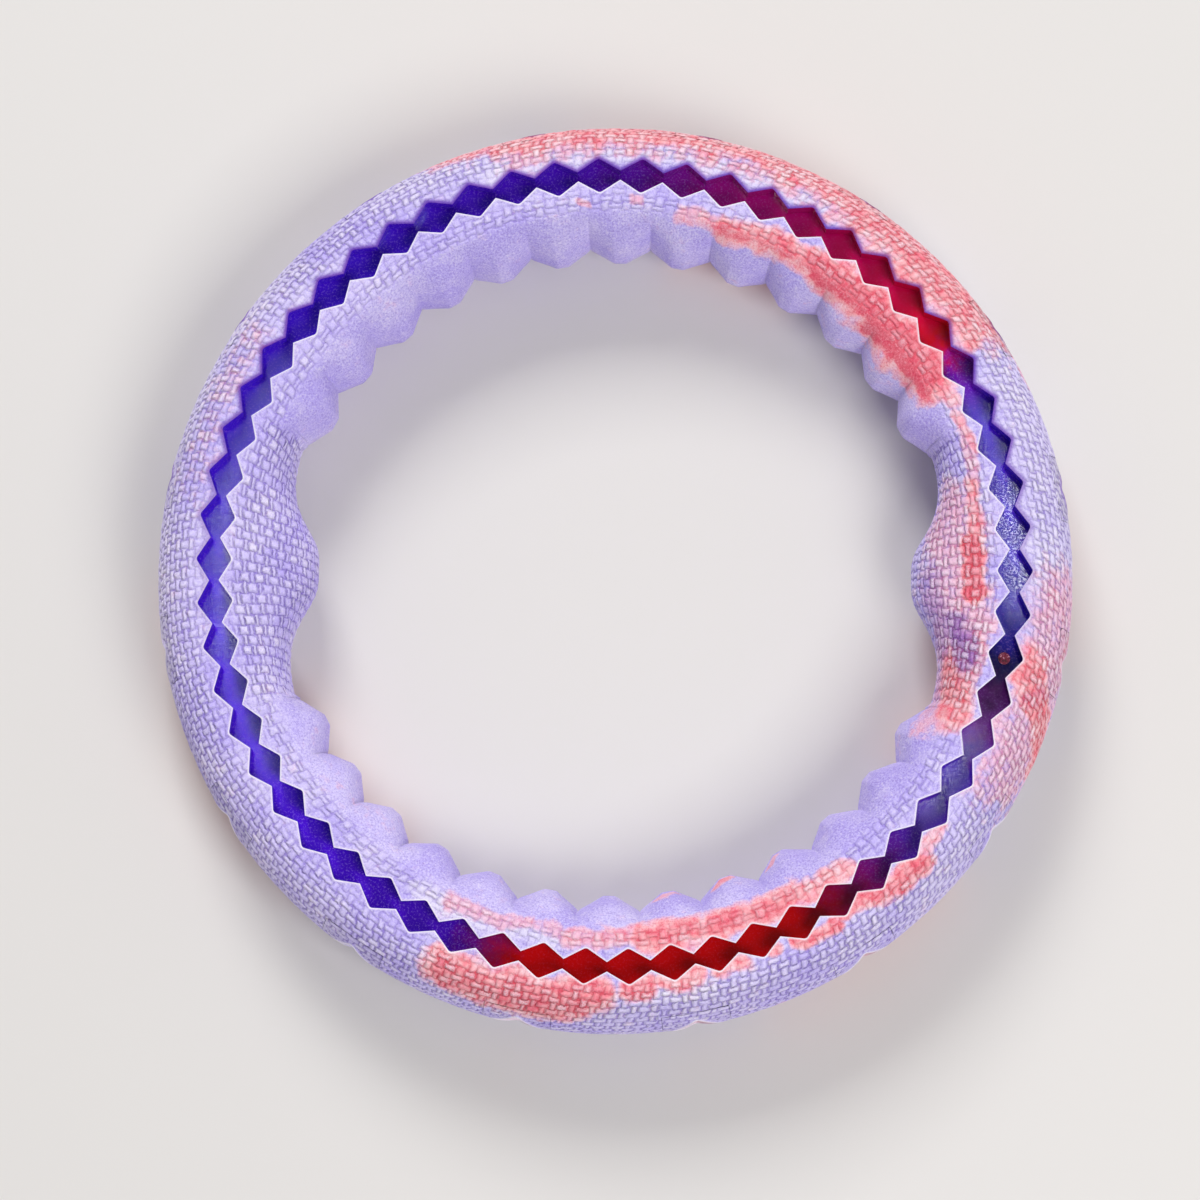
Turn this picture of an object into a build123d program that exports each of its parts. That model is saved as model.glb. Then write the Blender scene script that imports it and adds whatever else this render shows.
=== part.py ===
from build123d import *
import math
import os

os.makedirs("parts", exist_ok=True)

# A one-piece moulded foam throwing ring, lying flat on its back face. The ring's axis is +Z, the
# patterned front face looks up, and the two hand grips lie on +X and -X. The origin is on the axis,
# at the level of the back face. All sizes are in millimetres and degrees.

# The tube
RIM_RADIUS = 140.0  # crest of the outer rim
TUBE_INNER_RADIUS = 104.2  # inner crest of the tube where it is plain
THICKNESS = 40.0
MID = THICKNESS / 2
LAND_HALF_WIDTH = 7.0  # flat land on each face, about the chain's centreline

# The chain of diamonds sunk into each face
CHAIN_RADIUS = 120.7  # centreline of the chain
DIAMONDS = 58
PITCH = 360 / DIAMONDS
DIAMOND_HALF_WIDTH = 5.4  # from the centreline to a diamond's tip, before rounding
NECK_HALF_WIDTH = 1.4  # from the centreline to the wall where two diamonds join
CHAIN_DEPTH = 6.0
TIP_ROUND = 1.3

# The dense layer that lines each sunken area
SKIN = 0.8
LIP = 0.2  # foam above the lining's top edge

# The two arcs of finger knobs on the inner edge, centred on +Y and -Y
KNOBS_PER_ARC = 13
KNOB_PITCH = PITCH * 5 / 3
KNOB_ROOT_RADIUS = 113.0  # inside the tube
KNOB_TIP_HALF_WIDTH = 1.9
# Height from the middle plane, radius of a knob's tip there, and of the valley beside it
KNOB_SECTIONS = [
    (0.0, 98.5, 103.2),
    (10.0, 100.5, 104.6),
    (17.0, 106.1, 107.9),
    (19.5, 111.2, 111.6),
]

# The two palm grips on the inner edge, centred on +X and -X
GRIP_TIP_RADIUS = 90.6
GRIP_HALF_ANGLE = 22.0
GRIP_HALF_RISE_ANGLE = 10.0  # where the swell is down to half its height
GRIP_FALLOFF = 3.2
GRIP_SECTIONS = 13

# The lozenge pockets around the outer rim
POCKETS = 16
POCKET_HALF_WIDTH = 7.5
POCKET_HALF_HEIGHT = 10.5
POCKET_FLOOR_RADIUS = 137.8
POCKET_ROUND = 1.2

# The mark where the mould was filled, on the floor of one diamond of the front chain
GATE_DIAMOND = -2  # counted from the diamond on +X
GATE_RADIUS = 1.8
GATE_HEIGHT = 0.4


def polar(radius, angle):
    """A point of the XY plane from its radius and its angle in degrees."""
    turn = math.radians(angle)
    return (radius * math.cos(turn), radius * math.sin(turn))


def tube_section(inner_radius, angle):
    """The tube's section at an angle about the axis, reaching in to inner_radius."""
    land_in = CHAIN_RADIUS - LAND_HALF_WIDTH
    land_out = CHAIN_RADIUS + LAND_HALF_WIDTH
    outline = [
        Line((land_in, THICKNESS), (land_out, THICKNESS)),
        EllipticalCenterArc((land_out, MID), RIM_RADIUS - land_out, MID, -90, arc_size=180),
        Line((land_out, 0), (land_in, 0)),
        EllipticalCenterArc((land_in, MID), land_in - inner_radius, MID, 90, arc_size=180),
    ]
    return (Plane.XZ * make_face(outline)).rotate(Axis.Z, angle)


def grip_swell(angle):
    """How far the palm swell has risen, from 0 to 1, at an angle from the grip's centre."""

    def bell(a):
        return 1 / (1 + (abs(a) / GRIP_HALF_RISE_ANGLE) ** GRIP_FALLOFF)

    floor = bell(GRIP_HALF_ANGLE)
    return (bell(angle) - floor) / (1 - floor)


def plain_arc(start):
    """The tube between two grips, from a start angle counter-clockwise."""
    sweep = 180 - 2 * GRIP_HALF_ANGLE
    return revolve(tube_section(TUBE_INNER_RADIUS, start), Axis.Z, sweep)


def grip(centre):
    """The tube with its palm swell, lofted between the ends of the two plain arcs."""
    sections = []
    for step in range(GRIP_SECTIONS):
        angle = GRIP_HALF_ANGLE * (2 * step / (GRIP_SECTIONS - 1) - 1)
        reach = (TUBE_INNER_RADIUS - GRIP_TIP_RADIUS) * grip_swell(angle)
        sections.append(tube_section(TUBE_INNER_RADIUS - reach, centre + angle))
    return loft(sections)


def knob_outline(tip_radius, valley_radius, height):
    """A knob's plan outline at a height, with the knob pointing along +X."""
    half_pitch = KNOB_PITCH / 2
    tip_angle = math.degrees(KNOB_TIP_HALF_WIDTH / tip_radius)
    corners = [
        polar(KNOB_ROOT_RADIUS, -half_pitch),
        polar(valley_radius, -half_pitch),
        polar(tip_radius, -tip_angle),
        polar(tip_radius, tip_angle),
        polar(valley_radius, half_pitch),
        polar(KNOB_ROOT_RADIUS, half_pitch),
    ]
    return Pos(0, 0, height) * make_face(Polyline(*corners, close=True))


def finger_knob(angle):
    """One faceted knob: furthest in at the middle plane, and curving away to both faces."""
    below = [knob_outline(tip, valley, MID - rise) for rise, tip, valley in KNOB_SECTIONS[:0:-1]]
    above = [knob_outline(tip, valley, MID + rise) for rise, tip, valley in KNOB_SECTIONS]
    return loft(below + above, ruled=True).rotate(Axis.Z, angle)


def chain_face(growth):
    """The chain's plan outline, with every wall moved outwards by growth."""
    edge_slope = (DIAMOND_HALF_WIDTH - NECK_HALF_WIDTH) / (CHAIN_RADIUS * math.radians(PITCH) / 2)
    shift = growth * math.hypot(1, edge_slope)

    def ring(side):
        points = []
        for index in range(DIAMONDS):
            tip = CHAIN_RADIUS + side * (DIAMOND_HALF_WIDTH + shift)
            neck = CHAIN_RADIUS + side * (NECK_HALF_WIDTH + shift)
            points.append(polar(tip, index * PITCH))
            points.append(polar(neck, (index + 0.5) * PITCH))
        face = make_face(Polyline(*points, close=True))
        tips = [v for v in face.vertices() if abs(math.hypot(v.X, v.Y) - tip) < 0.01]
        return fillet(tips, TIP_ROUND + growth)

    return ring(1) - ring(-1)


def chain_prism(growth, bottom, top):
    """The chain's outline as a solid between two heights."""
    return extrude(Pos(0, 0, bottom) * chain_face(growth), top - bottom)


def front_to_back(solid):
    """The same solid for the back face, mirrored in the middle plane."""
    return solid.mirror(Plane.XY.offset(MID))


def pocket_prism(angle, inner, outer):
    """A rim pocket's lozenge as a prism between two distances from the axis."""
    turn = math.radians(angle)
    radial = (math.cos(turn), math.sin(turn), 0)
    tangent = (-math.sin(turn), math.cos(turn), 0)
    base = Plane(origin=(*polar(inner, angle), MID), x_dir=tangent, z_dir=radial)
    corners = [
        (POCKET_HALF_WIDTH, 0),
        (0, POCKET_HALF_HEIGHT),
        (-POCKET_HALF_WIDTH, 0),
        (0, -POCKET_HALF_HEIGHT),
    ]
    lozenge = make_face(Polyline(*corners, close=True))
    lozenge = fillet(lozenge.vertices(), POCKET_ROUND)
    return extrude(base * lozenge, outer - inner)


# The dense linings
floor_height = THICKNESS - CHAIN_DEPTH
lining_bottom = floor_height - SKIN
lining_top = THICKNESS - LIP
lining = chain_prism(SKIN, lining_bottom, lining_top) - chain_prism(0, floor_height, lining_top)

pocket_angles = [(index + 0.5) * 360 / POCKETS for index in range(POCKETS)]
pocket_linings = [pocket_prism(a, POCKET_FLOOR_RADIUS - SKIN, POCKET_FLOOR_RADIUS) for a in pocket_angles]

# The foam body: tube, grips and knobs, less the chains and the pockets with their linings
foam = plain_arc(GRIP_HALF_ANGLE) + plain_arc(180 + GRIP_HALF_ANGLE) + grip(0) + grip(180)
for arc_centre in (90, 270):
    for index in range(KNOBS_PER_ARC):
        foam += finger_knob(arc_centre + (index - (KNOBS_PER_ARC - 1) / 2) * KNOB_PITCH)
front_cut = chain_prism(SKIN, lining_bottom, lining_top) + chain_prism(0, lining_top, THICKNESS + 1)
foam -= front_cut
foam -= front_to_back(front_cut)
for angle in pocket_angles:
    foam -= pocket_prism(angle, POCKET_FLOOR_RADIUS - SKIN, RIM_RADIUS + 2)

gate_place = polar(CHAIN_RADIUS, GATE_DIAMOND * PITCH)
gate = Pos(*gate_place, floor_height) * extrude(Circle(GATE_RADIUS), GATE_HEIGHT)

export_step(foam, "parts/foam_ring.step")
export_step(lining, "parts/front_chain_lining.step")
export_step(front_to_back(lining), "parts/back_chain_lining.step")
export_step(gate, "parts/gate_mark.step")
for index, pocket_lining in enumerate(pocket_linings):
    export_step(pocket_lining, f"parts/rim_pocket_lining_{index + 1:02d}.step")
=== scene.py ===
import itertools
import math

import bpy
import numpy as np
from mathutils import Matrix, Vector


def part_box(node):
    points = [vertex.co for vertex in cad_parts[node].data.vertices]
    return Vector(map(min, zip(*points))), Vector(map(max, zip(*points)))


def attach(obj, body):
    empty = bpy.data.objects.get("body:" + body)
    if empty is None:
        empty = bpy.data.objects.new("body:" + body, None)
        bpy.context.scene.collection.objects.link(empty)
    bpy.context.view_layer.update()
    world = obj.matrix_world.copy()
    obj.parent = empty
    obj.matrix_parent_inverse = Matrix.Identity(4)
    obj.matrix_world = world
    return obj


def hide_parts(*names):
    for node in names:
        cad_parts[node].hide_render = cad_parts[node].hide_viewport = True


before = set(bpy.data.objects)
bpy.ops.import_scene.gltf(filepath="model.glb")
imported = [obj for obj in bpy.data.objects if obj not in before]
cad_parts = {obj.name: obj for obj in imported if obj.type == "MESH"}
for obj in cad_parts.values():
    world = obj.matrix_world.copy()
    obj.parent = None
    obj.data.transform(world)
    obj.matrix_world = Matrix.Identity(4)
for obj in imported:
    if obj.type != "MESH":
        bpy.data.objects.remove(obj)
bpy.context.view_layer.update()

MM = 0.001

# Sizes. Lengths are in metres and angles in radians. The ring's axis is +Z.
foam_low, foam_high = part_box("foam_ring")
RIM_RADIUS = foam_high[0]
TOP = foam_high[2]
MID = (foam_low[2] + foam_high[2]) / 2
HALF = TOP - MID
LINING_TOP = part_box("front_chain_lining")[1][2]

CHAIN_RADIUS = 120.7 * MM  # centreline of the chain of diamonds
DIAMONDS = 58
PITCH = 2 * math.pi / DIAMONDS
DIAMOND_HALF_WIDTH = 5.4 * MM
NECK_HALF_WIDTH = 1.4 * MM
TIP_ROUND = 1.3 * MM
LAND_HALF_WIDTH = 7 * MM  # flat land on each face, about the chain

TUBE_REACH = 9.5 * MM  # from the land's inner edge to the plain bore
GRIP_RISE = 13.6 * MM
GRIP_HALF_ANGLE = math.radians(22)
GRIP_HALF_RISE_ANGLE = math.radians(10)
GRIP_FALLOFF = 3.2

KNOBS_PER_ARC = 13
KNOB_PITCH = PITCH * 5 / 3
KNOB_VALLEY_REACH = 10.5 * MM
KNOB_RISE = 4.7 * MM
KNOB_TIP_HALF_ANGLE = math.radians(1.1)
KNOB_ROOT_REACH = 12.4 * MM  # near the faces, where knobs and valleys run together
KNOB_RIDGE = 0.3 * MM  # at the parting line
KNOB_RIDGE_ANGLE = math.radians(84)  # of the section, which meets the parting line at 90
KNOB_BLUNT = 0.05  # how far a knob's tip is rounded off, as a part of its rise
KNOB_CREASE = 0.09  # depth of the crease in a valley, as a part of a knob's rise
KNOB_SPREAD = (math.radians(16), math.radians(58))  # where the knobs rise from the section
KNOB_ZONE = KNOBS_PER_ARC * KNOB_PITCH / 2
KNOB_ZONE_FADE = math.radians(1.5)
KNOB_BARE = (9 * MM, 12.8 * MM)  # distances from the chain where the weave gives way to a knob

POCKETS = 16
POCKET_HALF_WIDTH = 7.5 * MM
POCKET_HALF_HEIGHT = 10.5 * MM
POCKET_FLOOR_RADIUS = 137.8 * MM
POCKET_ROUND = 1.2 * MM

# The woven texture
CELL = 2.35 * MM
YARN = 0.34  # half a yarn's width, in cells
RELIEF = 0.34 * MM
EDGE = 0.15 * MM  # softened edge along each lip
YARN_END = (0.2, 0.72)  # how a yarn's end sinks under the one that crosses it
OUTER_CELLS = 266
INNER_CELLS = 216
LUMP_DEPTH = 0.12 * MM
LUMP_SIZE = 14 * MM
LUMP_FADE = 2 * MM  # from each lip

# The mesh of the foam
SECTORS = 8
COLUMNS = DIAMONDS * 36
MORPH_END = 9 * MM  # distance from the chain where the rows have become circles
MORPH_ROWS = 15
OUTER_ROWS = 62  # from there to the middle plane
INNER_ROWS = 74
LIP_ROWS = 4
LIP_MARK = -0.3 * MM  # distance that the rows of a lip's wall are given, to be stained
POCKET_BLOCK_WIDTH = 10.5 * MM  # half sizes of the part of the rim's grid that a pocket replaces
POCKET_BLOCK_HEIGHT = 15 * MM
POCKET_RINGS = 26
FINE = 240  # steps of the arc-length tables


def smooth(low, high, x):
    """A smooth step from 0 at low to 1 at high, and back to front where low is the larger."""
    t = np.clip((x - low) / (high - low), 0, 1)
    return t * t * (3 - 2 * t)


def turn_gap(theta, centre):
    """Signed angle from a centre to theta, between -pi and pi."""
    return (theta - centre + math.pi) % (2 * math.pi) - math.pi


def chain_edge(theta, side):
    """Radius of the chain's outer (side 1) or inner (side -1) outline at theta."""
    phi = np.abs((theta / PITCH + 0.5) % 1 - 0.5) * PITCH
    half = PITCH / 2
    tip = CHAIN_RADIUS + side * DIAMOND_HALF_WIDTH
    neck = CHAIN_RADIUS + side * NECK_HALF_WIDTH
    straight = tip * neck * math.sin(half) / (tip * np.sin(phi) + neck * np.sin(half - phi))
    lean = math.atan(side * (tip - neck * math.cos(half)) / (neck * math.sin(half)))
    centre = tip - side * TIP_ROUND / math.cos(lean)
    off = centre * np.sin(phi)
    rounded = centre * np.cos(phi) + side * np.sqrt(np.maximum(TIP_ROUND**2 - off**2, 0))
    return np.where(off < TIP_ROUND * math.sin(lean), rounded, straight)


def grip_swell(gap):
    """How far a palm swell has risen, from 0 to 1, at an angle from its centre."""

    def bell(a):
        return 1 / (1 + (np.abs(a) / GRIP_HALF_RISE_ANGLE) ** GRIP_FALLOFF)

    floor = bell(GRIP_HALF_ANGLE)
    inside = np.abs(gap) < GRIP_HALF_ANGLE
    return np.where(inside, (bell(gap) - floor) / (1 - floor), 0)


def knob_rise(gap):
    """A knob arc's profile at an angle from its centre: 1 on a knob's tip, 0 in a valley."""
    phase = (gap / KNOB_PITCH + 0.5) % 1 - 0.5
    off = np.abs(phase) * KNOB_PITCH
    ramp = (KNOB_PITCH / 2 - off) / (KNOB_PITCH / 2 - KNOB_TIP_HALF_ANGLE)
    groove = KNOB_CREASE * np.exp(-((1 - 2 * np.abs(phase)) / 0.05))
    return 0.5 * (ramp + 1 - np.sqrt((ramp - 1) ** 2 + KNOB_BLUNT**2)) - groove


def knob_gap(theta):
    """Signed angle from the nearer centre of an arc of knobs."""
    return turn_gap(2 * theta, math.pi) / 2


def knob_weight(theta):
    """1 within the two arcs of knobs and 0 outside them."""
    return 1 - smooth(KNOB_ZONE, KNOB_ZONE + KNOB_ZONE_FADE, np.abs(knob_gap(theta)))


def reach(theta, alpha, side):
    """Half axis of the tube's section, from the land's edge towards the rim or the bore."""
    if side > 0:
        return np.full(np.broadcast(theta, alpha).shape, RIM_RADIUS - CHAIN_RADIUS - LAND_HALF_WIDTH)
    grip = turn_gap(2 * theta, 0) / 2
    plain = TUBE_REACH + GRIP_RISE * grip_swell(grip)
    weight = knob_weight(theta)
    gap = knob_gap(theta)
    knob = KNOB_VALLEY_REACH + KNOB_RISE * np.where(np.abs(gap) < KNOB_ZONE, knob_rise(gap), 0)
    spread = smooth(*KNOB_SPREAD, alpha)
    knobbed = KNOB_ROOT_REACH + (knob - KNOB_ROOT_REACH) * spread
    knobbed = knobbed + KNOB_RIDGE * smooth(KNOB_RIDGE_ANGLE, math.radians(90), alpha)
    return plain + (knobbed - plain) * weight


def weave_height(u, v, lean):
    """Height of the plain weave, from 0 in a gap to 1 on a yarn's crown, at a place in cells.

    A lean over 0 makes the yarns that run round the ring the wider ones.
    """
    iu = np.round(u)
    iv = np.round(v)
    fu = u - iu
    fv = v - iv
    over = 1 - 2 * ((iu + iv) % 2)
    across = np.maximum(1 - (fv / (YARN * (1 + lean))) ** 2, 0) ** 0.45
    along = np.maximum(1 - (fu / (YARN * (1 - lean))) ** 2, 0) ** 0.45
    warp = smooth(*YARN_END, 0.5 + 0.5 * np.cos(math.pi * fu) * over + 0.2 * lean) * across
    weft = smooth(*YARN_END, 0.5 - 0.5 * np.cos(math.pi * fv) * over - 0.2 * lean) * along
    return np.maximum(warp * np.minimum(1.1 + lean, 1), weft * np.minimum(1.1 - lean, 1))


def lattice_noise(points, size, seed):
    """Smooth noise between -1 and 1, with lumps of a given size."""
    grid = points / size
    cell = np.floor(grid).astype(np.int64)
    part = grid - cell
    part = part * part * (3 - 2 * part)
    total = np.zeros(points.shape[:-1])
    for corner in itertools.product((0, 1), repeat=3):
        at = cell + np.array(corner)
        code = at[..., 0] * 73856093 ^ at[..., 1] * 19349663 ^ at[..., 2] * 83492791
        code = code ^ seed * 2654435761
        code = ((code ^ (code >> 13)) * 1274126177) & 0x7FFFFFFF
        code = ((code ^ (code >> 15)) * 668265263) & 0x7FFFFFFF
        weight = np.prod(np.where(np.array(corner) == 1, part, 1 - part), axis=-1)
        total += weight * ((code >> 8 & 0xFFFF) / 32767.5 - 1)
    return total


def cloud(points, size, seed):
    """Three octaves of noise."""
    return sum(lattice_noise(points, size / 2**k, seed + k) / 2**k for k in range(3)) / 1.2


def wander(theta, s, side):
    """Slow sideways drift and slant of the weave, in cells."""
    x = s / (10 * MM)
    slant = 0.5 + 1.0 * np.cos(theta) if side > 0 else -0.3 + 0.3 * np.cos(theta)
    du = slant * x + 0.22 * np.sin(5 * theta + 0.8 * x + 1.3) + 0.12 * np.sin(17 * theta - 1.7 * x)
    dv = 0.20 * np.sin(7 * theta - 0.5 * x + 0.4) + 0.10 * np.sin(23 * theta + 1.1 * x + 2.0)
    return du, dv


# The coral, violet and milky dye, as strokes: angle in degrees and distance from the chain in
# millimetres at each end, half width in millimetres, strength. Distances past the middle plane
# run on round the back. A strength over 1 makes the dye deeper.
OUTER_BAND_RADIUS = 128 * MM  # where the strokes' angles are turned into lengths
INNER_BAND_RADIUS = 107 * MM
STROKE_DRIFT = 2.6 * MM  # how far a stroke's edge wanders along the ring
STROKE_RISE = 1.8 * MM  # and across it
STROKE_FRAY = 0.3
OUTER_CORAL = [
    (26, 27, 33, 29, 4.0, 0.5),
    (42, 30, 33.5, 8, 4.2, 1.0),
    (38, 17, 46, 16, 16.0, 1.0),
    (46, 18, 58, 20, 15.0, 1.0),
    (58, 21, 84, 22, 13.5, 1.0),
    (84, 22, 104, 22, 12.8, 1.0),
    (104, 24, 112, 26, 10.5, 0.85),
    (112, 30, 119, 31, 6.0, 0.75),
    (120, 31, 131, 33, 3.5, 0.45),
    (149, 10, 169, 10, 7.0, 0.2),
    (249, 11, 265.5, 13, 7.5, 1.2),
    (262, 8, 269, 9, 5.0, 1.15),
    (273, 6.5, 275.5, 6, 3.6, 1.05),
    (277.5, 5, 283, 5, 2.4, 0.9),
    (286, 5, 289, 5, 2.6, 0.9),
    (293, 4, 294, 4, 2.2, 0.8),
    (297, 5, 302, 5, 2.4, 1.1),
    (304, 4, 308, 5, 2.6, 1.1),
    (309, 5, 316, 7, 4.0, 1.2),
    (317, 5, 321, 5, 2.2, 0.6),
    (328, 31, 340, 27, 5.0, 0.26),
    (337, 28, 346.5, 8, 6.5, 1.15),
    (349, 24, 355, 31, 3.5, 0.55),
    (334, 14, 354, 18, 15.0, 0.42),
    (60, 44, 96, 52, 7.0, 0.9),
    (352, 42, 372, 50, 6.0, 0.75),
    (180, 52, 214, 44, 7.0, 0.9),
    (214, 44, 232, 56, 4.0, 0.8),
    (292, 40, 318, 48, 6.0, 0.85),
]
INNER_CORAL = [
    (-4, 12.5, 5, 12, 3.4, 1.6),
    (4, 12, 14, 10.5, 3.0, 0.75),
    (13, 10.5, 22, 8, 2.4, 0.45),
    (-9, 12, -1, 16, 8.0, 0.45),
    (-14, 20, 10, 21, 12.0, 0.36),
    (20, 7, 24, 8, 2.0, 0.7),
    (27, 6, 33, 6, 3.2, 0.7),
    (33, 9, 43, 11, 9.0, 1.4),
    (43, 9, 56, 10, 6.5, 1.35),
    (56, 10, 72, 12, 4.4, 1.15),
    (71, 11, 80, 11, 3.0, 0.6),
    (87, 8, 88, 8, 1.3, 0.45),
    (95, 8, 96, 8, 1.3, 0.45),
    (245, 9, 263, 10, 2.6, 0.42),
    (265, 8, 275, 10, 3.2, 0.6),
    (276, 8, 299, 8, 4.8, 1.15),
    (297, 6, 308, 6, 2.6, 0.85),
    (279, 26, 281, 29, 2.5, 0.55),
    (289, 25, 291, 29, 2.8, 0.8),
    (299, 26, 300, 29, 2.2, 0.6),
    (338, 12, 344, 18, 7.0, 1.1),
    (344, 10, 348, 10, 4.0, 0.7),
    (334, 18, 340, 22, 6.0, 0.4),
    (60, 50, 80, 49, 4.0, 0.7),
    (200, 44, 232, 50, 5.0, 0.8),
    (330, 48, 352, 50, 6.0, 0.8),
]
OUTER_VIOLET = [
    (343, 12, 346, 20, 4.0, 0.35),
]
INNER_VIOLET = [
    (345.5, 12, 350, 17, 6.0, 0.8),
    (347, 24, 358, 28, 6.0, 0.6),
    (336, 20, 343, 25, 4.0, 0.4),
]
OUTER_MILK = [
    (52, 7, 80, 7, 3.5, 0.9),
    (80, 8, 108, 7, 4.0, 0.8),
    (108, 14, 122, 18, 7.0, 0.5),
    (140, 22, 190, 26, 9.0, 0.5),
    (-14, 16, 36, 18, 14.0, 0.55),
    (275, 8, 283, 10, 3.0, 0.8),
    (303, 14, 330, 16, 6.0, 0.3),
]
INNER_MILK = [
    (240, 7, 262, 7, 3.0, 0.8),
    (344, 15, 352, 22, 8.0, 0.5),
    (2, 18, 10, 22, 8.0, 0.4),
    (24, 8, 30, 9, 4.0, 0.5),
]


def strokes(points, theta, s, radius, listed):
    """How much of the strokes' colour lies at each place: the strongest of the listed strokes there.
    """
    drift = STROKE_DRIFT * cloud(points, 11 * MM, 3)
    rise = STROKE_RISE * cloud(points, 8 * MM, 17)
    fray = STROKE_FRAY * cloud(points, 3.5 * MM, 29)
    amount = np.zeros(theta.shape)
    for start, start_s, end, end_s, half_width, strength in listed:
        middle = math.radians((start + end) / 2)
        ax = (math.radians(start) - middle) * radius
        bx = (math.radians(end) - middle) * radius
        px = turn_gap(theta, middle) * radius + drift
        py = s + rise
        dx, dy = bx - ax, (end_s - start_s) * MM
        t = np.clip(((px - ax) * dx + (py - start_s * MM) * dy) / (dx * dx + dy * dy), 0, 1)
        gap = np.hypot(px - ax - t * dx, py - start_s * MM - t * dy)
        part = strength * smooth(1.55, 0.4, gap / (half_width * MM) + fray)
        amount = np.maximum(amount, part)
    return amount


def column_tables(theta, side):
    """Arc length from the chain's centreline, per column, against the section's angle alpha."""
    alpha = np.linspace(0, math.pi / 2, FINE + 1)
    across = reach(theta[:, None], alpha[None, :], side) * np.sin(alpha)
    down = HALF * np.cos(alpha)[None, :]
    steps = np.hypot(np.diff(across, axis=1), np.diff(down, axis=1))
    length = LAND_HALF_WIDTH + np.concatenate([np.zeros((len(theta), 1)), np.cumsum(steps, 1)], 1)
    return alpha, length


def surface(theta, s, alpha, side):
    """Radius and height of the smooth front half of the foam's surface."""
    on_land = s <= LAND_HALF_WIDTH
    edge = CHAIN_RADIUS + side * LAND_HALF_WIDTH
    curved = edge + side * reach(theta, alpha, side) * np.sin(alpha)
    radius = np.where(on_land, CHAIN_RADIUS + side * s, curved)
    return radius, np.where(on_land, TOP, MID + HALF * np.cos(alpha))


def half_grid(side, rows):
    """The front half of one side of the foam, as columns by rows of theta, s, radius and height."""
    theta = np.arange(COLUMNS + 1) * 2 * math.pi / COLUMNS
    alpha_table, length_table = column_tables(theta, side)
    lip = chain_edge(theta, side)
    lip_s = side * (lip - CHAIN_RADIUS)
    start = lip_s + EDGE
    near = start[:, None] + (MORPH_END - start)[:, None] * np.linspace(0, 1, MORPH_ROWS)
    total = length_table[:, -1]
    far = MORPH_END + (total - MORPH_END)[:, None] * np.linspace(0, 1, rows + 1)[1:]
    s = np.concatenate([near, far], axis=1)
    alpha = np.array([np.interp(row, table, alpha_table) for row, table in zip(s, length_table)])
    angle = np.repeat(theta[:, None], s.shape[1], axis=1)
    radius, height = surface(angle, s, alpha, side)

    # The lip: out over the lining's edge, up its wall and round a soft edge
    wall_r = [lip + side * 4 * EDGE, lip, lip, lip + side * 0.3 * EDGE]
    wall_z = [np.full_like(lip, z) for z in (LINING_TOP, LINING_TOP, TOP - EDGE, TOP - 0.3 * EDGE)]
    radius = np.concatenate([np.stack(wall_r, 1), radius], axis=1)
    height = np.concatenate([np.stack(wall_z, 1), height], axis=1)
    wall_s = lip_s[:, None] + np.array([1, 1, 1, 0]) * LIP_MARK  # tells the wall from the face
    s = np.concatenate([wall_s, s], axis=1)
    angle = np.repeat(theta[:, None], s.shape[1], axis=1)
    return angle, s, radius, height, lip_s[:, None], total[:, None]


def grid_normals(points, closed):
    """Normals of a grid of points, with its first axis closed on itself or not."""
    if closed:
        ring = points[:-1]
        along = np.roll(ring, -1, axis=0) - np.roll(ring, 1, axis=0)
        along = np.concatenate([along, along[:1]], axis=0)
    else:
        along = np.gradient(points, axis=0)
    normal = np.cross(np.gradient(points, axis=1), along)
    return normal / np.maximum(np.linalg.norm(normal, axis=2, keepdims=True), 1e-12)


def place(theta, radius, height):
    return np.stack([radius * np.cos(theta), radius * np.sin(theta), height], axis=-1)


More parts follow.
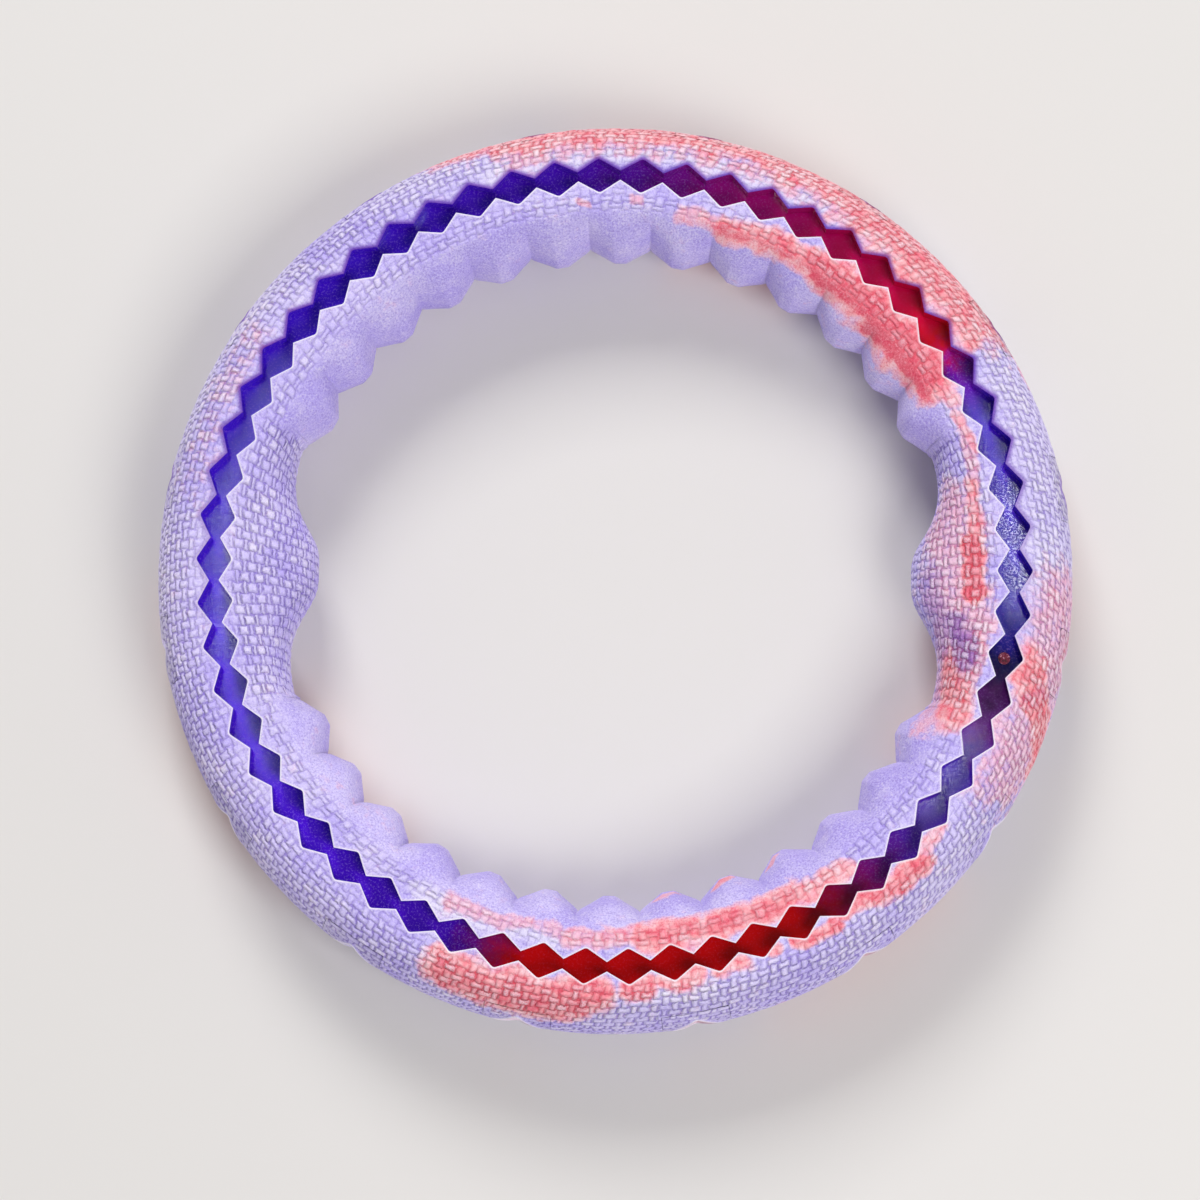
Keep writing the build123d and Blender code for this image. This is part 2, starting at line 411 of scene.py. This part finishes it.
def skin(base, normal, theta, s, clear, total, side, front):
    """The woven surface over the smooth one, and its attributes. Clear is the distance to a lip.

    The attributes are weave (u, v, how strong the weave is), tints (coral, violet, the lip's
    painted highlight) and a third set (lean, milk, painted shade beside the lip, with the lining's
    colour on its wall).
    """
    front_turn = np.where(front, theta, -theta)
    du, dv = wander(front_turn, s, side)
    u = (OUTER_CELLS if side > 0 else INNER_CELLS) * theta / (2 * math.pi) + du
    v = s / CELL + dv

    # The weave stops at the lips and at the parting line, and is fainter on the land
    mask = smooth(0.15 * MM, 1.4 * MM, clear) * smooth(0.15 * MM, 0.7 * MM, total - s)
    lean = 0.05 * np.sin(3 * theta + 1)
    if side > 0:
        mask = mask * (0.4 + 0.6 * smooth(4 * MM, 9.5 * MM, s))
        lean = lean + 0.3 * smooth(10 * MM, 17 * MM, s)
    else:
        lean = lean - 0.08 - 0.16 * smooth(1.2, 0.6, np.abs(turn_gap(theta, math.pi)))
        knobs = knob_weight(theta)
        mask = mask * (0.3 + (0.7 - 0.25 * knobs) * smooth(3 * MM, 8 * MM, s))
        mask = mask * (1 - knobs * smooth(*KNOB_BARE, s))
    lumps = LUMP_DEPTH * (1 + cloud(base, LUMP_SIZE, 41)) * smooth(0, LUMP_FADE, clear)
    sunk = RELIEF * (1 - weave_height(u, v, lean)) * mask + lumps
    points = base - normal * sunk[..., None]
    far_s = np.where(front, s, 2 * total - s)
    if side > 0:
        band_radius = OUTER_BAND_RADIUS
        lists = (OUTER_CORAL, OUTER_VIOLET, OUTER_MILK)
        # The outer lip gets a painted highlight where it faces the light, which falls from +Y, and
        # painted shade beside it where it faces away.
        lip_toward_light = smooth(-0.5, 0.4, -np.sin(theta))  # 0 on the +Y side, facing away from the light
    else:
        band_radius = INNER_BAND_RADIUS
        lists = (INNER_CORAL, INNER_VIOLET, INNER_MILK)
        # The inner lip gets the painted highlight all round, and no painted shade.
        lip_toward_light = np.ones_like(theta)
    coral, violet, milk = (strokes(points, theta, far_s, band_radius, listed) for listed in lists)
    # Painted highlight along the lip's soft edge where it faces the light
    pale = smooth(0.8 * MM, 0.25 * MM, clear) * lip_toward_light
    # Painted shade beside the lip where it faces away from the light, and the lining's colour on the
    # lip's wall
    lip_shade_and_stain = np.maximum(smooth(2.2 * MM, 0.2 * MM, clear) * (1 - lip_toward_light), smooth(0, -0.2 * MM, clear))
    weave = np.stack([u, v, mask], axis=-1)
    # Coral and violet tints with the lip's painted highlight; below, lean, milk and the painted
    # shade beside the lip, with the lining's colour on its wall
    tint_and_highlight = np.stack([coral, violet, pale], axis=-1)
    return points, weave, tint_and_highlight, np.stack([lean, milk, lip_shade_and_stain], axis=-1)


def foam_side(side):
    """One side of the foam, lip to lip, as grids of points, normals and attributes."""
    rows = OUTER_ROWS if side > 0 else INNER_ROWS
    theta, s, radius, height, lip_s, total = half_grid(side, rows)
    halves = []
    for front in (True, False):
        base = place(theta, radius, height if front else 2 * MID - height)
        normal = grid_normals(base, True) * (side if front else -side)
        points, *kinds = skin(base, normal, theta, s, s - lip_s, total, side, front)
        points[:, :LIP_ROWS] = base[:, :LIP_ROWS]
        halves.append((points, *kinds))
    merged = [np.concatenate([first, second[:, -2::-1]], axis=1) for first, second in zip(*halves)]
    return merged[0], grid_normals(merged[0], True) * side, *merged[1:]


def lozenge(turn):
    """Distance from a pocket's centre to its rounded outline, in a direction."""
    out = 1 / (np.abs(np.cos(turn)) / POCKET_HALF_WIDTH + np.abs(np.sin(turn)) / POCKET_HALF_HEIGHT)
    corner = math.atan2(POCKET_HALF_WIDTH, POCKET_HALF_HEIGHT)
    for tip, half_corner, off in (
        (POCKET_HALF_HEIGHT, corner, np.cos(turn)),
        (POCKET_HALF_WIDTH, math.pi / 2 - corner, np.sin(turn)),
    ):
        middle = tip - POCKET_ROUND / math.sin(half_corner)
        touch = POCKET_ROUND * math.cos(half_corner)
        toward = np.sqrt(np.maximum(1 - off**2, 0))
        arc = middle * toward + np.sqrt(np.maximum(POCKET_ROUND**2 - (middle * off) ** 2, 0))
        out = np.where((np.abs(off) * arc < touch) & (toward > 0.5), arc, out)
    return out


def rim_pocket(centre, angle, far_s, total):
    """A pocket's patch of the rim: rings from a loop of the rim's grid to the pocket's foot.

    angle and far_s are the loop's, with far_s counted on past the middle plane. The result has
    rings by loop vertices.
    """
    alpha_table, length_table = column_tables(np.zeros(1), 1)
    half_axis = RIM_RADIUS - CHAIN_RADIUS - LAND_HALF_WIDTH
    land = CHAIN_RADIUS + LAND_HALF_WIDTH

    def rim_at(along, up):
        rise = np.clip(np.abs(up) / HALF, 0, 1)
        radius = land + half_axis * np.sqrt(1 - rise**2)
        s = np.interp(np.arccos(rise), alpha_table, length_table[0])
        return radius, np.arcsin(along / radius), s

    alpha = np.interp(np.minimum(far_s, 2 * total - far_s), length_table[0], alpha_table)
    loop_up = HALF * np.cos(alpha) * np.sign(total - far_s)
    loop_along = (land + half_axis * np.sin(alpha)) * np.sin(turn_gap(angle, centre))
    turn = np.arctan2(loop_up, loop_along)
    edge = lozenge(turn)
    span = np.hypot(loop_up, loop_along)
    share = np.linspace(0, 1, POCKET_RINGS)[:, None]
    far = span + (edge - span) * share
    along, up = far * np.cos(turn), far * np.sin(turn)
    radius, off, s = rim_at(along, up)
    base = place(centre + off, radius, MID + up)
    slope = np.stack([(radius - land) / half_axis**2, up / HALF**2], -1)
    slope /= np.linalg.norm(slope, axis=-1, keepdims=True)
    normal = place(centre + off, slope[..., 0], slope[..., 1])
    front = up >= 0
    clear = (far - edge) * 0.8
    points, weave, tint_and_highlight, lean_milk_shade_and_stain = skin(base, normal, centre + off, s, clear, total, 1, front)
    spots = np.stack([centre + off, np.where(front, s, 2 * total - s)], -1)

    # The softened edge and the wall, down past the top of the pocket's lining
    outward = np.array([math.cos(centre), math.sin(centre), 0])
    walls = []
    for inset, drop in ((0.3, 0.1), (0.8, 0.5), (1.0, 1.0)):
        scale = 1 - inset * EDGE / edge
        radius, off, s = rim_at(along[-1] * scale, up[-1] * scale)
        walls.append(place(centre + off, radius, MID + up[-1] * scale) - outward * drop * EDGE)
    foot = walls[-1] + outward * (POCKET_FLOOR_RADIUS - 2 * EDGE - walls[-1] @ outward)[:, None]
    rings = np.stack([*walls, foot])
    points = np.concatenate([points, rings])
    middle = np.array([centre, total])
    extra = [spots[-1] + (middle - spots[-1]) * 0.12 * (k + 1) for k in range(len(rings))]
    spots = np.concatenate([spots, np.stack(extra)])
    kinds = (weave, tint_and_highlight, lean_milk_shade_and_stain)
    grown = [np.concatenate([grid, np.repeat(grid[-1:], len(rings), axis=0)]) for grid in kinds]
    closed = np.concatenate([points, points[:, :1]], axis=1).transpose(1, 0, 2)
    normals = -grid_normals(closed, True).transpose(1, 0, 2)[:, :-1]
    return points, normals, *grown, spots


def quad_faces(index, closed=False):
    """Faces of a grid of vertex numbers."""
    if closed:
        index = np.concatenate([index, index[:, :1]], axis=1)
    corners = (index[:-1, :-1], index[:-1, 1:], index[1:, 1:], index[1:, :-1])
    return np.stack(corners, axis=-1)


def foam_piece(name, points, normals, weave, tint_and_highlight, lean_milk_shade_and_stain, spots, faces):
    """A mesh object from flat arrays, with its attributes, its map and its smooth normals."""
    used, faces = np.unique(faces, return_inverse=True)
    faces = faces.ravel()
    mesh = bpy.data.meshes.new(name)
    mesh.vertices.add(len(used))
    mesh.vertices.foreach_set("co", points[used].ravel())
    mesh.loops.add(faces.size)
    mesh.loops.foreach_set("vertex_index", faces)
    mesh.polygons.add(faces.size // 4)
    mesh.polygons.foreach_set("loop_start", np.arange(faces.size // 4) * 4)
    mesh.update(calc_edges=True)
    # The last two attributes carry the lips' painted highlight and painted shade among their parts
    for label, values in (("weave", weave), ("tint_and_highlight", tint_and_highlight), ("lean_milk_shade_and_stain", lean_milk_shade_and_stain)):
        layer = mesh.attributes.new(label, "FLOAT_VECTOR", "POINT")
        layer.data.foreach_set("vector", values[used].ravel())
    chart = mesh.uv_layers.new(name="OFBake")
    chart.data.foreach_set("uv", spots[used][faces].ravel())
    mesh.polygons.foreach_set("use_smooth", np.ones(faces.size // 4, bool))
    mesh.normals_split_custom_set_from_vertices(normals[used])
    piece = bpy.data.objects.new(name, mesh)
    bpy.context.collection.objects.link(piece)
    return piece


def foam_sectors(side, label):
    """One side of the foam, cut into equal sectors, the outer ones with their pockets."""
    grids = foam_side(side)
    columns = COLUMNS // SECTORS
    rows = grids[0].shape[1]
    step = 2 * math.pi / COLUMNS
    made = []
    for sector in range(SECTORS):
        start = sector * columns
        flat = [grid[start : start + columns + 1].reshape(-1, 3) for grid in grids]
        index = np.arange((columns + 1) * rows).reshape(columns + 1, rows)
        square = np.meshgrid(np.linspace(0, 1, columns + 1), np.linspace(0, 1, rows), indexing="ij")
        flat.append(np.stack(square, -1).reshape(-1, 2))
        cells_kept = np.ones((columns, rows - 1), bool)
        patches = []
        if side > 0:
            total = column_tables(np.zeros(1), 1)[1][0, -1]
            row_step = (total - MORPH_END) / OUTER_ROWS
            half = round(POCKET_BLOCK_HEIGHT / row_step)
            wide = round(POCKET_BLOCK_WIDTH / RIM_RADIUS / step)
            for pocket in range(POCKETS // SECTORS):
                centre = (sector * POCKETS // SECTORS + pocket + 0.5) * 2 * math.pi / POCKETS
                middle = round(centre / step) - start
                left, right = middle - wide, middle + wide
                low, high = rows // 2 - half, rows // 2 + half
                cells_kept[left:right, low:high] = False
                loop = [(c, low) for c in range(left, right)]
                loop += [(right, r) for r in range(low, high)]
                loop += [(c, high) for c in range(right, left, -1)]
                loop += [(left, r) for r in range(high, low, -1)]
                loop_columns, loop_rows = np.array(loop).T
                angle = (start + loop_columns) * step
                far_s = total + (loop_rows - rows // 2) * row_step
                patch = list(rim_pocket(centre, angle, far_s, total))
                chart_u = (patch[-1][..., 0] / step - start) / columns
                chart_v = ((patch[-1][..., 1] - total) / row_step + rows // 2) / (rows - 1)
                patch[-1] = np.stack([chart_u, chart_v], -1)
                first = len(flat[0])
                count = patch[0][1:].shape[0] * len(loop)
                numbers = first + np.arange(count).reshape(-1, len(loop))
                numbers = np.concatenate([index[loop_columns, loop_rows][None, :], numbers])
                for k, grid in enumerate(patch):
                    flat[k] = np.concatenate([flat[k], grid[1:].reshape(-1, grid.shape[-1])])
                patches.append(quad_faces(numbers, closed=True).reshape(-1, 4))
        faces = quad_faces(index)[cells_kept]
        faces = np.concatenate([faces if side > 0 else faces[:, ::-1], *patches])
        made.append(foam_piece(f"foam_{label}_{sector + 1}", *flat, faces))
    return made


foam_pieces = foam_sectors(1, "rim") + foam_sectors(-1, "bore")


class Graph:
    """A short way to write a material's nodes."""

    def __init__(self, name):
        self.material = bpy.data.materials.new(name)
        self.material.use_nodes = True
        self.tree = self.material.node_tree
        self.shader = self.tree.nodes["Principled BSDF"]

    def node(self, kind, inputs=(), **settings):
        made = self.tree.nodes.new(kind)
        for key, value in settings.items():
            setattr(made, key, value)
        for key, value in dict(inputs).items():
            self.put(made.inputs[key], value)
        return made

    def put(self, socket, value):
        if isinstance(value, bpy.types.NodeSocket):
            self.tree.links.new(value, socket)
        else:
            socket.default_value = value

    def math(self, operation, *values, clamp=False):
        made = self.node("ShaderNodeMath", operation=operation, use_clamp=clamp)
        for socket, value in zip(made.inputs, values):
            self.put(socket, value)
        return made.outputs[0]

    def mix(self, factor, first, second, blend="MIX"):
        made = self.node("ShaderNodeMix", data_type="RGBA", blend_type=blend)
        self.put(made.inputs["Factor"], factor)
        self.put(made.inputs["A"], first)
        self.put(made.inputs["B"], second)
        return made.outputs["Result"]

    def noise(self, place, scale, detail=2.0, roughness=0.5):
        inputs = {"Vector": place, "Scale": scale, "Detail": detail, "Roughness": roughness}
        return self.node("ShaderNodeTexNoise", inputs).outputs["Fac"]

    def span(self, value, low, high, to_low=0.0, to_high=1.0, kind="SMOOTHSTEP"):
        made = self.node("ShaderNodeMapRange", interpolation_type=kind)
        for key, number in zip(("Value", "From Min", "From Max", "To Min", "To Max"),
                               (value, low, high, to_low, to_high)):
            self.put(made.inputs[key], number)
        return made.outputs[0]

    def set(self, **inputs):
        for key, value in inputs.items():
            self.put(self.shader.inputs[key.replace("_", " ")], value)


def shade(red, green, blue):
    """A colour from its sRGB parts, each 0 to 255."""

    def linear(part):
        return ((part / 255 + 0.055) / 1.055) ** 2.4 if part > 10 else part / 3294.6

    return linear(red), linear(green), linear(blue), 1


def weave_nodes(g, u, v, lean):
    """The weave's height, by the same rule as weave_height."""

    def parts(x):
        whole = g.math("FLOOR", g.math("ADD", x, 0.5))
        return whole, g.math("SUBTRACT", x, whole)

    def round_bar(offset, half_width):
        ratio = g.math("DIVIDE", offset, half_width)
        left = g.math("SUBTRACT", 1.0, g.math("MULTIPLY", ratio, ratio))
        return g.math("POWER", g.math("MAXIMUM", left, 0.0), 0.55)

    iu, fu = parts(u)
    iv, fv = parts(v)
    odd = g.math("FLOORED_MODULO", g.math("ADD", iu, iv), 2.0)
    over = g.math("SUBTRACT", 0.5, odd)
    swing_u = g.math("MULTIPLY", g.math("COSINE", g.math("MULTIPLY", fu, math.pi)), over)
    swing_v = g.math("MULTIPLY", g.math("COSINE", g.math("MULTIPLY", fv, math.pi)), over)
    warp_half = g.math("MULTIPLY", g.math("ADD", 1.0, lean), YARN)
    weft_half = g.math("MULTIPLY", g.math("SUBTRACT", 1.0, lean), YARN)
    tilt = g.math("MULTIPLY", lean, 0.2)
    warp_end = g.span(g.math("ADD", g.math("ADD", 0.5, swing_u), tilt), *YARN_END)
    weft_end = g.span(g.math("SUBTRACT", g.math("SUBTRACT", 0.5, swing_v), tilt), *YARN_END)
    warp = g.math("MULTIPLY", warp_end, round_bar(fv, warp_half))
    warp = g.math("MULTIPLY", warp, g.math("ADD", lean, 1.1, clamp=True))
    weft = g.math("MULTIPLY", weft_end, round_bar(fu, weft_half))
    weft = g.math("MULTIPLY", weft, g.math("SUBTRACT", 1.1, lean, clamp=True))
    which = g.node("ShaderNodeCombineXYZ", {"X": iu, "Y": iv}).outputs[0]
    luck = g.node("ShaderNodeTexWhiteNoise", {"Vector": which}).outputs["Value"]
    return g.math("MAXIMUM", warp, weft), luck


def foam_material():
    """Marbled lavender and coral foam with a woven skin."""
    g = Graph("marbled_foam")
    weave = g.node("ShaderNodeAttribute", attribute_name="weave").outputs["Vector"]
    tint_and_highlight = g.node("ShaderNodeAttribute", attribute_name="tint_and_highlight").outputs["Vector"]
    lean_milk_shade_and_stain = g.node("ShaderNodeAttribute", attribute_name="lean_milk_shade_and_stain").outputs["Vector"]
    u, v, mask = g.node("ShaderNodeSeparateXYZ", {"Vector": weave}).outputs
    # The third parts of the last two attributes carry the lips' painted highlight and painted shade,
    # with the lining's colour on the lips' walls
    coral, violet, pale = g.node("ShaderNodeSeparateXYZ", {"Vector": tint_and_highlight}).outputs
    lean, milk, lip_shade_and_stain = g.node("ShaderNodeSeparateXYZ", {"Vector": lean_milk_shade_and_stain}).outputs
    here = g.node("ShaderNodeTexCoord").outputs["Object"]

    clouds = g.noise(here, 45, 3, 0.55)
    fleck = g.noise(here, 420, 3, 0.6)
    shift = g.noise(here, 760, 2, 0.5)
    grain = g.noise(here, 2400, 2, 0.6)

    u_bent = g.math("ADD", u, g.math("MULTIPLY", g.math("SUBTRACT", fleck, 0.5), 0.5))
    v_bent = g.math("ADD", v, g.math("MULTIPLY", g.math("SUBTRACT", shift, 0.5), 0.5))
    height, luck = weave_nodes(g, u_bent, v_bent, lean)
    uneven = g.math("ADD", 0.7, g.math("MULTIPLY", luck, 0.5))
    crown = g.math("MULTIPLY", g.math("MULTIPLY", height, mask), uneven)
    frayed = g.math("ADD", height, g.math("MULTIPLY", g.math("SUBTRACT", shift, 0.5), 0.9))
    gap = g.math("MULTIPLY", g.span(frayed, 0.44, 0.0), mask)

    lavender = g.mix(g.span(clouds, 0.35, 0.65), shade(188, 172, 243), shade(210, 198, 248))
    wisps = g.math("MULTIPLY", g.span(g.noise(here, 130, 4, 0.6), 0.5, 0.75), 0.25)
    milky = g.math("ADD", wisps, g.math("MULTIPLY", milk, 0.8), clamp=True)
    lavender = g.mix(milky, lavender, shade(238, 231, 252))
    amount = g.math("ADD", coral, g.math("MULTIPLY", g.math("SUBTRACT", fleck, 0.5), 0.5))
    amount = g.math("ADD", amount, g.math("MULTIPLY", g.math("SUBTRACT", clouds, 0.5), 0.4))
    amount = g.math("ADD", amount, g.math("MULTIPLY", g.math("SUBTRACT", luck, 0.5), 0.16))
    rose = g.mix(g.span(amount, 0.06, 0.4), lavender, shade(238, 186, 218))
    blotch = g.noise(here, 230, 3, 0.6)
    salmon = g.mix(g.span(blotch, 0.34, 0.52), shade(252, 122, 140), shade(255, 170, 176))
    salmon = g.mix(g.span(blotch, 0.48, 0.66), salmon, shade(255, 204, 210))
    colour = g.mix(g.span(amount, 0.24, 0.95), rose, salmon)
    colour = g.mix(g.span(amount, 0.85, 1.4, 0.0, 0.75), colour, shade(232, 60, 94))
    murk = g.math("ADD", violet, g.math("MULTIPLY", g.math("SUBTRACT", fleck, 0.5), 0.7))
    colour = g.mix(g.span(murk, 0.2, 1.0), colour, shade(148, 92, 184))

    # Painted shade in the gaps between the yarns, partly standing for colour pooled there: cooler on
    # lavender, warmer on coral. The foam's pits below take the same darker tone.
    cool = g.mix(1.0, colour, shade(150, 122, 200), "MULTIPLY")
    warm = g.mix(1.0, colour, shade(214, 100, 132), "MULTIPLY")
    gap_shade_tone = g.mix(g.span(amount, 0.2, 0.7), cool, warm)
    colour = g.mix(g.math("MULTIPLY", gap, 0.62), colour, gap_shade_tone)
    # Painted highlight on the yarns' crowns, uneven from yarn to yarn
    lit = g.math("MULTIPLY", g.math("MULTIPLY", luck, crown), g.span(grain, 0.3, 0.6, 0.1, 0.55))
    colour = g.mix(lit, colour, shade(250, 244, 255))
    plain = g.span(mask, 0.0, 0.7, 1.0, 0.0)
    fine = g.noise(here, 1650, 3, 0.7)
    pit = g.math("MULTIPLY", g.span(fine, 0.5, 0.38), g.span(plain, 0, 1, 0.15, 0.38))
    colour = g.mix(pit, colour, gap_shade_tone)
    speck = g.math("MULTIPLY", g.span(fine, 0.52, 0.64), g.span(plain, 0, 1, 0.25, 0.38))
    speck = g.math("MULTIPLY", speck, g.span(amount, 0.3, 0.9, 1.0, 0.45))
    colour = g.mix(speck, colour, shade(252, 248, 255))
    # Painted highlight along the lips
    colour = g.mix(g.math("MULTIPLY", pale, 0.8), colour, shade(252, 246, 254))
    # Painted shade beside the lips that face away from the light, and the lining's colour on their
    # walls
    shade_and_stain_tone = g.mix(1.0, colour, shade(140, 84, 190), "MULTIPLY")
    colour = g.mix(lip_shade_and_stain, colour, shade_and_stain_tone)
    g.set(Base_Color=colour)

    relief = g.math("ADD", crown, g.math("MULTIPLY", grain, 0.2))
    relief = g.math("ADD", relief, g.math("MULTIPLY", fine, g.span(plain, 0, 1, 0.1, 0.45)))
    relief = g.math("ADD", relief, g.math("MULTIPLY", shift, 0.25))
    bump = g.node("ShaderNodeBump", {"Height": relief, "Distance": 0.62 * MM, "Strength": 1.0})
    g.set(Normal=bump.outputs[0], Roughness=g.span(grain, 0.3, 0.7, 0.5, 0.68, "LINEAR"))
    g.set(Specular_IOR_Level=0.45)
    return g.material


# The linings' dye by angle in degrees
LINING_TONES = [
    (0, (54, 16, 186)),
    (24, (60, 14, 186)),
    (31, (111, 12, 162)),
    (36, (200, 0, 23)),
    (41, (197, 0, 60)),
    (60, (174, 0, 90)),
    (77, (144, 0, 128)),
    (88, (97, 5, 162)),
    (98, (77, 9, 186)),
    (130, (70, 12, 202)),
    (175, (74, 19, 213)),
    (225, (74, 12, 204)),
    (247, (74, 9, 186)),
    (252, (128, 12, 104)),
    (257, (200, 0, 5)),
    (298, (192, 0, 5)),
    (303, (151, 0, 39)),
    (310, (137, 9, 121)),
    (318, (88, 28, 174)),
    (331, (79, 26, 190)),
    (336, (134, 54, 164)),
    (342, (74, 8, 88)),
    (347, (14, 2, 81)),
    (352, (26, 9, 162)),
    (360, (54, 16, 186)),
]


def lining_material():
    """Dense satin lining, its colour changing round the ring."""
    g = Graph("dense_lining")
    here = g.node("ShaderNodeTexCoord").outputs["Object"]
    x, y, _ = g.node("ShaderNodeSeparateXYZ", {"Vector": here}).outputs
    clouds = g.noise(here, 160, 4, 0.65)
    grain = g.noise(here, 1500, 3, 0.7)
    turn = g.math("DIVIDE", g.math("ARCTAN2", y, x), 2 * math.pi)
    wobble = g.math("MULTIPLY", g.math("SUBTRACT", clouds, 0.5), 0.028)
    turn = g.math("FRACT", g.math("ADD", g.math("ADD", turn, 1.0), wobble))
    ramp = g.node("ShaderNodeValToRGB", {"Fac": turn})
    stops = ramp.color_ramp.elements
    while len(stops) < len(LINING_TONES):
        stops.new(0.5)
    for stop, (degrees, tone) in zip(stops, LINING_TONES):
        stop.position = degrees / 360
        stop.color = shade(*tone)
    colour = ramp.outputs["Color"]
    blue = g.node("ShaderNodeSeparateColor", {"Color": colour}).outputs["Blue"]
    specks = g.math("MULTIPLY", g.span(grain, 0.5, 0.68), g.span(blue, 0.05, 0.35, 0.03, 0.36))
    colour = g.mix(specks, colour, shade(190, 136, 234))
    g.set(Base_Color=colour)
    relief = g.math("ADD", grain, g.math("MULTIPLY", clouds, 0.3))
    bump = g.node("ShaderNodeBump", {"Height": relief, "Distance": 0.003 * MM, "Strength": 1.0})
    g.set(Normal=bump.outputs[0], Roughness=g.span(grain, 0.44, 0.58, 0.04, 0.26))
    g.set(Specular_IOR_Level=0.35)
    return g.material


def gate_material():
    """The rough reddish scar where the mould was filled."""
    g = Graph("gate_scar")
    here = g.node("ShaderNodeTexCoord").outputs["Object"]
    clump = g.noise(here, 800, 4, 0.75)
    colour = g.mix(g.span(clump, 0.42, 0.54), shade(48, 0, 36), shade(158, 8, 62))
    colour = g.mix(g.span(clump, 0.57, 0.63), colour, shade(250, 196, 222))
    g.set(Base_Color=colour, Roughness=0.35)
    bump = g.node("ShaderNodeBump", {"Height": clump, "Distance": 0.3 * MM, "Strength": 1.0})
    g.set(Normal=bump.outputs[0])
    return g.material


foam = foam_material()
for piece in foam_pieces:
    piece.data.materials.append(foam)
    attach(piece, "root")
    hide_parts("foam_ring")


def paint(node, material):
    """Gives a CAD node its material."""
    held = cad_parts[node]
    for slot in held.material_slots:
        slot.material = material
    if not held.material_slots:
        held.data.materials.append(material)


lining = lining_material()
paint("gate_mark", gate_material())
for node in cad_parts:
    if "lining" in node:
        paint(node, lining)

# The floor, the light and the camera
FLOOR_SIZE = 6.0
bpy.ops.mesh.primitive_plane_add(size=FLOOR_SIZE, location=(0, 0, foam_low[2]))
floor = bpy.context.object
floor.name = "floor"
g = Graph("pale_floor")
g.set(Base_Color=shade(223, 220, 216), Roughness=0.6)
floor.data.materials.append(g.material)


def lamp(name, at, width, length, power, turn=None):
    """A soft rectangular light, aimed at the ring or, given a turn, straight down."""
    data = bpy.data.lights.new(name, "AREA")
    data.shape = "RECTANGLE"
    data.size, data.size_y = width, length
    data.energy = power
    light = bpy.data.objects.new(name, data)
    light.location = at
    aim = (-Vector(at)).to_track_quat("-Z", "Y").to_euler()
    light.rotation_euler = aim if turn is None else (0, 0, math.radians(turn))
    bpy.context.collection.objects.link(light)


lamp("key", (-0.6, 2.2, 1.9), 1.1, 1.1, 54)
lamp("fill", (0.9, -0.95, 1.6), 1.0, 1.0, 22)
lamp("strip_left", (-0.2595, 0.182, 1.2), 0.014, 0.105, 0.07, 0)
lamp("strip_upper_left", (-0.2415, 0.2735, 1.2), 0.012, 0.084, 0.03, -23.5)
lamp("strip_lower_left", (-0.2455, 0.09, 1.2), 0.012, 0.087, 0.022, 22.4)
lamp("strip_right", (0.2285, 0.2025, 1.2), 0.01, 0.076, 0.095, 7.6)
lamp("strip_upper_right", (0.2133, 0.266, 1.2), 0.01, 0.056, 0.02, 21.5)
lamp("strip_lower_right", (0.188, 0.0615, 1.2), 0.01, 0.06, 0.03, -31)

world = bpy.data.worlds.new("studio")
world.use_nodes = True
tree = world.node_tree
sky = tree.nodes.new("ShaderNodeTexCoord")
split = tree.nodes.new("ShaderNodeSeparateXYZ")
shading = tree.nodes.new("ShaderNodeMapRange")  # pale all round and darker overhead
for key, number in (("From Min", 0.5), ("From Max", 1.0), ("To Min", 0.5), ("To Max", 0.1)):
    shading.inputs[key].default_value = number
tree.links.new(sky.outputs["Generated"], split.inputs[0])
tree.links.new(split.outputs["Z"], shading.inputs["Value"])
tree.links.new(shading.outputs[0], tree.nodes["Background"].inputs["Strength"])
tree.nodes["Background"].inputs["Color"].default_value = (0.96, 0.95, 1.0, 1)
bpy.context.scene.world = world
bpy.context.scene.view_settings.view_transform = "Standard"

CAMERA_AT = Vector((0.01777, -0.17618, 1.1401))
CAMERA_AIM = Vector((-0.01953, 0.14859, -0.98871)).normalized()
CAMERA_UP = Vector((-0.01487, 0.98874, 0.14889))
FIELD_OF_VIEW = math.radians(18.42)
camera_data = bpy.data.cameras.new("camera")
camera_data.sensor_fit = "HORIZONTAL"
camera_data.angle = FIELD_OF_VIEW
camera_data.clip_start = 0.01
camera = bpy.data.objects.new("camera", camera_data)
right = CAMERA_AIM.cross(CAMERA_UP).normalized()
up = right.cross(CAMERA_AIM)
turned = Matrix((right, up, -CAMERA_AIM)).transposed().to_4x4()
camera.matrix_world = Matrix.Translation(CAMERA_AT) @ turned
bpy.context.collection.objects.link(camera)
bpy.context.scene.camera = camera
